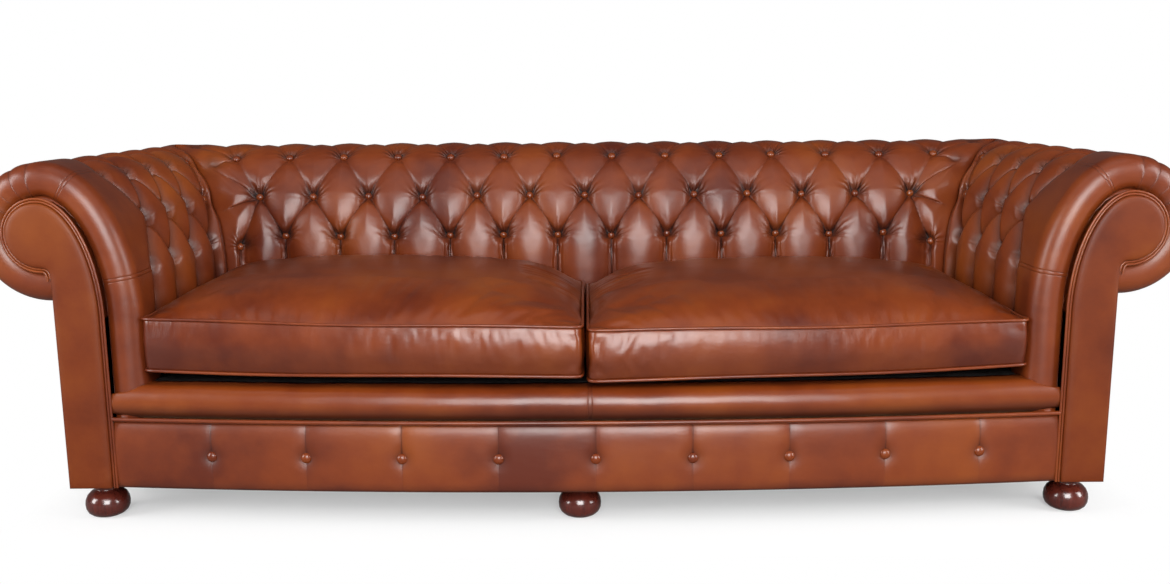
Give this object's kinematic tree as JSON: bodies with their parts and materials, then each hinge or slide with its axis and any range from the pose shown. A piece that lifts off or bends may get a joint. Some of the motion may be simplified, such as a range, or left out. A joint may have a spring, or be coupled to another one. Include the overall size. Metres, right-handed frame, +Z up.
{
  "type": "chesterfield sofa",
  "caption": "Long low chesterfield sofa with deep-buttoned rolled arms and back, a bowed and buttoned front border, two loose seat cushions, welted scroll facings and turned bun feet.",
  "frame": {"origin": "on the floor, below the middle of the sofa's box", "axes": "+X to the right as the sofa is seen from the front, +Y from the front to the back, +Z up"},
  "size_m": [2.5, 0.999, 0.7581],
  "materials": {
    "antiqued_leather": "waxed cognac leather, hand antiqued, with darker reddish brown in the folds and a soft sheen",
    "facing_leather": "waxed cognac leather, a little darker and flatter",
    "welt_leather": "lighter tan leather rubbed along the cord",
    "beech": "planed beech, unfinished",
    "polished_wood": "dark red-brown stain under high gloss polish",
    "zinc_steel": "zinc plated",
    "jute": "woven jute webbing",
    "black_cloth": "plain black platform cloth"
  },
  "bodies": {
    "sofa": {"back_pad": "antiqued_leather", "left_arm_pad": "antiqued_leather", "right_arm_pad": "antiqued_leather", "front_border": "antiqued_leather", "seat_lip_roll": "antiqued_leather", "front_button_1": "antiqued_leather", "front_button_2": "antiqued_leather", "front_button_3": "antiqued_leather", "front_button_4": "antiqued_leather", "front_button_5": "antiqued_leather", "front_button_6": "antiqued_leather", "front_button_7": "antiqued_leather", "front_button_8": "antiqued_leather", "front_button_9": "antiqued_leather", "left_facing": "facing_leather", "right_facing": "facing_leather", "left_outside_arm": "facing_leather", "right_outside_arm": "facing_leather", "outside_back": "facing_leather", "left_facing_welt": "welt_leather", "right_facing_welt": "welt_leather", "rail_welt": "welt_leather", "left_front_post": "beech", "right_front_post": "beech", "front_rail": "beech", "rear_rail": "beech", "centre_cross_rail": "beech", "back_top_rail": "beech", "back_tack_rail": "beech", "back_upright": "beech", "left_side_rail": "beech", "left_rear_post": "beech", "left_arm_tack_rail": "beech", "left_arm_top_rail": "beech", "right_side_rail": "beech", "right_rear_post": "beech", "right_arm_tack_rail": "beech", "right_arm_top_rail": "beech", "front_left_foot": "polished_wood", "front_centre_foot": "polished_wood", "front_right_foot": "polished_wood", "rear_left_foot": "polished_wood", "rear_centre_foot": "polished_wood", "rear_right_foot": "polished_wood", "front_left_foot_bolt": "zinc_steel", "front_centre_foot_bolt": "zinc_steel", "front_right_foot_bolt": "zinc_steel", "rear_left_foot_bolt": "zinc_steel", "rear_centre_foot_bolt": "zinc_steel", "rear_right_foot_bolt": "zinc_steel", "seat_webbing": "jute", "back_webbing": "jute", "seat_platform": "black_cloth", "dust_cover": "black_cloth"},
    "left_cushion": {"left_seat_cushion": "antiqued_leather", "left_cushion_top_welt": "welt_leather", "left_cushion_bottom_welt": "welt_leather"},
    "right_cushion": {"right_seat_cushion": "antiqued_leather", "right_cushion_top_welt": "welt_leather", "right_cushion_bottom_welt": "welt_leather"}
  },
  "joints": [
    {"name": "left_cushion_lift", "type": "slide", "parent": "sofa", "child": "left_cushion", "axis": [0, 0, 1], "range_m": [0, 0.5]},
    {"name": "right_cushion_lift", "type": "slide", "parent": "sofa", "child": "right_cushion", "axis": [0, 0, 1], "range_m": [0, 0.5]}
  ]
}
